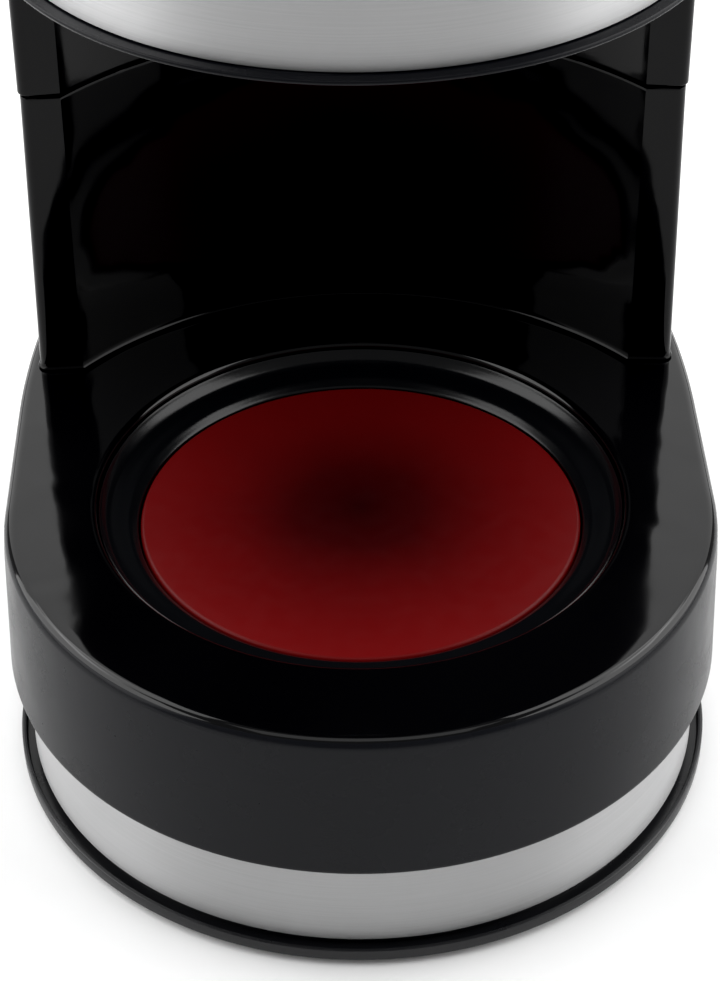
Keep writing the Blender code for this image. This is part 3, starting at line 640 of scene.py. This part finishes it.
def warming_plate():
    edge = [(49.1 + 0.9 * math.cos(a), 57.5 + 0.9 * math.sin(a))
            for a in (math.pi / 2 * i / 5 for i in range(1, 6))]
    top_face = [(r, PLATE_Z) for r in (40, 30, 20, 10, 0)]
    plate = turned("hot_plate", [(0, 57.3), (48.9, 57.3), (48.9, 54.5), (PLATE_R, 54.5), (PLATE_R, 57.5)]
                   + edge + top_face, LOOKS["red_coating"])
    stand_for(plate, "warming_plate")
    face = curve_through(((50.4, 57.2), (50.6, 58.1), (51.4, 58.9), (52.3, 59.6), (53.4, 59.9), (55.4, 60.2),
                          (57.3, 60.85), (58.4, 62.2), (58.9, 63.15), (59.05, 63.4)), 5)
    under = [(59.3, 63.25), (59.35, 62.8), (59.1, 60.6), (61.9, 60.6), (57.0, 58.4), (53.0, 55.6)]
    ring = turned("plate_surround", [(50.4, 55.6)] + face + under, RIB, closed=True)
    stand_for(ring, "plate_ring")


# ---------------------------------------------------------------- column, tank, head and lid
def side_lean(y):
    """How far the bowed side has turned from straight ahead at y."""
    return math.atan(2 * (y - BASE_SIDE_Y) / SIDE_BOW)


def switch_place():
    at = Matrix.Translation((tower_side(SWITCH_Y) + 0.3, SWITCH_Y, SWITCH_Z))
    return at @ Matrix.Rotation(side_lean(SWITCH_Y), 4, "Z")


def column():
    plan, foot = column_plan(0.9), DECK_Z + GAP     # the column widens a little towards its foot
    bead = [at_height(offset(plan, d), foot + z)
            for d, z in ((0.15, 0.0), (0.38, 0.1), (0.46, 0.28), (0.34, 0.5), (0.14, 0.7))]
    wall = edged(plan, column_plan(-0.2), foot + 0.9, SEAM_Z - 0.3)[3:]
    front = stack("niche_column", bead + wall, TOWER)
    combine(front, "DIFFERENCE", block((-6, -6.9, -9.9), (6, 6.9, 9.9), switch_place()))
    stand_for(front, "column_front")
    plan = column_plan(0.3)
    upper = stack("upper_column", edged(plan, plan, SEAM_Z + 0.3, COLUMN_TOP_Z), TOWER)
    stand_for(upper, "upper_housing")


def tank():
    half = [(0.0, TANK_Y), (20.0, TANK_Y), (44.0, TANK_Y), (tank_side(TANK_Y), TANK_Y)]
    half += [(tank_side(y), y) for y in (90.0, 93.0, 96.0, 99.0, 102.0, 105.0, 107.5)]
    half += rear_corner(tank_side, BASE_END_Y - 4.0, BASE_CORNER_R - 4.0)
    plan = both_sides(half)
    inside = offset(plan, -WALL)
    vessel = stack("tank_shell", edged(plan, plan, DECK_Z + GAP, COLUMN_TOP_Z)
                   + [at_height(inside, COLUMN_TOP_Z), at_height(inside, TANK_FLOOR_Z)], SATIN)
    lean = side_lean(WINDOW_Y)
    place = (Matrix.Translation((-tank_side(WINDOW_Y) + WALL / 2 * math.cos(lean), WINDOW_Y, WINDOW_Z))
             @ Matrix.Rotation(-lean, 4, "Z"))
    combine(vessel, "DIFFERENCE", rods((OUTLET,), 5.0, 60.0, 75.0), rods((OUTLET,), 6.0, 60.0, 67.4),
            block((-4, -3.8, -60.5), (4, 3.8, 60.5), place))
    stand_for(vessel, "water_tank")


def head():
    def underside(radius, back_x, back_y, niche_r):
        return both_sides(arc(0, 0, radius, -90, 0, FRONT_STEPS) + [(radius, back_y), (back_x, back_y)]
                          + niche_half(niche_r, back_x, 30))
    flange = underside(DRUM_RIM_R, CORE_BACK_X, DRUM_BACK_Y, NICHE_R - 0.3)
    rim = stack("drum_rim", [at_height(flange, HEAD_Z), at_height(flange, HEAD_Z + 1.0)], SATIN)
    rounded(rim, 0.4, 4)
    step = underside(DRUM_R - DRUM_BAND_T - 0.4, CORE_BACK_X - 0.8, DRUM_BACK_Y - 0.7, NICHE_R - 1.2)
    raised = stack("tool", [at_height(step, HEAD_Z + 0.5), at_height(step, HEAD_Z + 2.9)], SATIN)
    combine(rim, "UNION", raised)
    combine(rim, "DIFFERENCE", rods(((0, 0),), DRUM_HOLE_R, HEAD_Z - 5, HEAD_Z + 8, steps=96))
    stand_for(rim, "head_rim")

    def strip(r):
        right = [(r, DRUM_BACK_Y), (r, DRUM_STRAIGHT_Y)]
        return right, [(-x, y) for x, y in reversed(right)]
    (right, left), (right_in, left_in) = strip(DRUM_R), strip(DRUM_R - DRUM_BAND_T)
    section = (right + arc(0, 0, DRUM_R, 0, -180, 120) + left + list(reversed(left_in))
               + arc(0, 0, DRUM_R - DRUM_BAND_T, -180, 0, 120) + list(reversed(right_in)))
    band = stack("drum_band", [at_height(section, HEAD_Z + 1.3), at_height(section, DRUM_TOP_Z)], STEEL)
    stand_for(rounded(band, 0.15, 2), "head_band")

    z = BASKET_Z
    profile = ((4.5, z - 8.4), (8.5, z - 8.4), (8.5, z), (46.0, z), (57.5, z + 41.5), (BASKET_R, z + 42.0),
               (BASKET_R, z + 43.9), (56.2, z + 43.9), (44.8, z + 3.6), (12.0, z + 2.0), (4.5, z + 2.0))
    basket = turned("basket", profile, LOOKS["inner_plastic"], closed=True)
    stand_for(rounded(basket, 0.4), "filter_basket")
    profile = ((0, 231.0), (42.0, 231.0), (53.6, 257.8), (54.4, 259.2), (59.5, 259.2), (59.5, 260.4),
               (53.4, 260.4), (41.2, 232.0), (0, 232.0))
    gauze = turned("gauze_filter", profile, LOOKS["nylon_mesh"])
    stand_for(gauze, "mesh_filter")


def spring():
    """The drip valve's closing spring, wound up to the cage's roof."""
    turns, steps, sides, low = 3.5, 28, 8, BASKET_Z + 5.3
    count = int(turns * steps)
    bm = bmesh.new()
    rows = []
    for i in range(count + 1):
        around, z = math.tau * i / steps, low + (SPRING_TOP_Z - low) * i / count
        rows.append([])
        for k in range(sides):
            r = SPRING_R + SPRING_WIRE_R * math.cos(math.tau * k / sides)
            up = SPRING_WIRE_R * math.sin(math.tau * k / sides)
            rows[-1].append(bm.verts.new((r * math.cos(around), r * math.sin(around), z + up)))
    for a, b in zip(rows, rows[1:]):
        for k in range(sides):
            bm.faces.new((a[k], a[(k + 1) % sides], b[(k + 1) % sides], b[k]))
    bm.faces.new(rows[0][::-1])
    bm.faces.new(rows[-1])
    coil = stand_for(piece("closing_spring", bm, LOOKS["zinc_steel"]), "drip_spring")
    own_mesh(coil)


def top():
    deck = stack("top_deck", [at_height(top_plan, FRAME_Z), at_height(top_plan, FRAME_Z + 2.7)], SATIN)
    lugs = []
    for x in (-LUG_X, LUG_X):
        lugs += [block((x - LUG_HALF, HINGE_Y - LUG_R, 264.0), (x + LUG_HALF, HINGE_Y + LUG_R, HINGE_Z)),
                 cross_rod(x - LUG_HALF, x + LUG_HALF, HINGE_Y, HINGE_Z, LUG_R)]
    combine(deck, "UNION", *lugs)
    combine(deck, "DIFFERENCE", rods(((0, 0),), 62.0, 255, 275, steps=144),
            block((-56, 91.0, 255), (56, 109.5, 275)), rods((RISER,), 4.6, 255, 275),
            cross_rod(-60, 60, HINGE_Y, HINGE_Z, PIN_R))
    stand_for(rounded(deck, 0.45), "top_frame")

    mid, rear = 20.0, max(y for _, y in lid_plan)
    shoulder = [(-5.2 + 5.2 * math.cos(a), 274.5 + 5.7 * math.sin(a))
                for a in (math.radians(72) * i / 9 for i in range(10))]
    skirt = [(-2.4, LID_Z), (-0.4, LID_Z), (-0.1, LID_Z + 0.1), (0.0, LID_Z + 0.4)]
    crown = rings(lid_plan, skirt + shoulder)
    crown += [scaled(lid_plan, f, z, mid)
              for f, z in ((0.92, 281.1), (0.86, 281.75), (0.78, 282.25), (0.66, 282.7), (0.52, 283.0),
                           (0.36, 283.15), (0.18, 283.2))]
    hollow = [scaled(lid_plan, f, z, mid)
              for f, z in ((0.18, 280.8), (0.40, 280.6), (0.70, 280.0), (0.88, 278.6))]
    lid = stack("lid_shell", hollow + [at_height(offset(lid_plan, -3.2), 275.5)] + crown, LID)
    ears = [rounded(block((-11, -75.6, 266.6), (11, -70.8, 269.4)), 0.6)]
    for x in (-EAR_X, EAR_X):
        ears += [block((x - LUG_HALF, rear - 1.2, HINGE_Z - 2.4), (x + LUG_HALF, HINGE_Y, HINGE_Z + LUG_R)),
                 cross_rod(x - LUG_HALF, x + LUG_HALF, HINGE_Y, HINGE_Z, LUG_R)]
    combine(lid, "UNION", *ears)
    combine(lid, "DIFFERENCE", cross_rod(-60, 60, HINGE_Y, HINGE_Z, PIN_R))
    stand_for(lid, "lid", body="lid")


base()
warming_plate()
column()
tank()
head()
spring()
top()

# the CAD nodes that stay get their finish, and softer edges where they show
for name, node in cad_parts.items():
    slot_name = node.data.materials[0].name.split(".")[0]
    node.data.materials[0] = LOOKS[slot_name]
for name, width in (("switch_body", 0.35), ("switch_rocker", 0.5), ("spray_arm", 0.5), ("level_window", 0.2)):
    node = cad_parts[name]
    weld = node.modifiers.new("weld", "WELD")
    weld.merge_threshold = 1e-5
    rounded(node, width)

# ---------------------------------------------------------------- floor
bm = bmesh.new()
bmesh.ops.create_grid(bm, x_segments=1, y_segments=1, size=6.0)     # metres
floor_mesh = bpy.data.meshes.new("floor")
bm.to_mesh(floor_mesh)
bm.free()
ground = Look("floor", 0.8, specular=0.0)
ground.colour(ground.noise(2.0), (0.90, 0.90, 0.90), (0.93, 0.93, 0.93))
floor_mesh.materials.append(ground.mat)
floor = link("floor", floor_mesh)
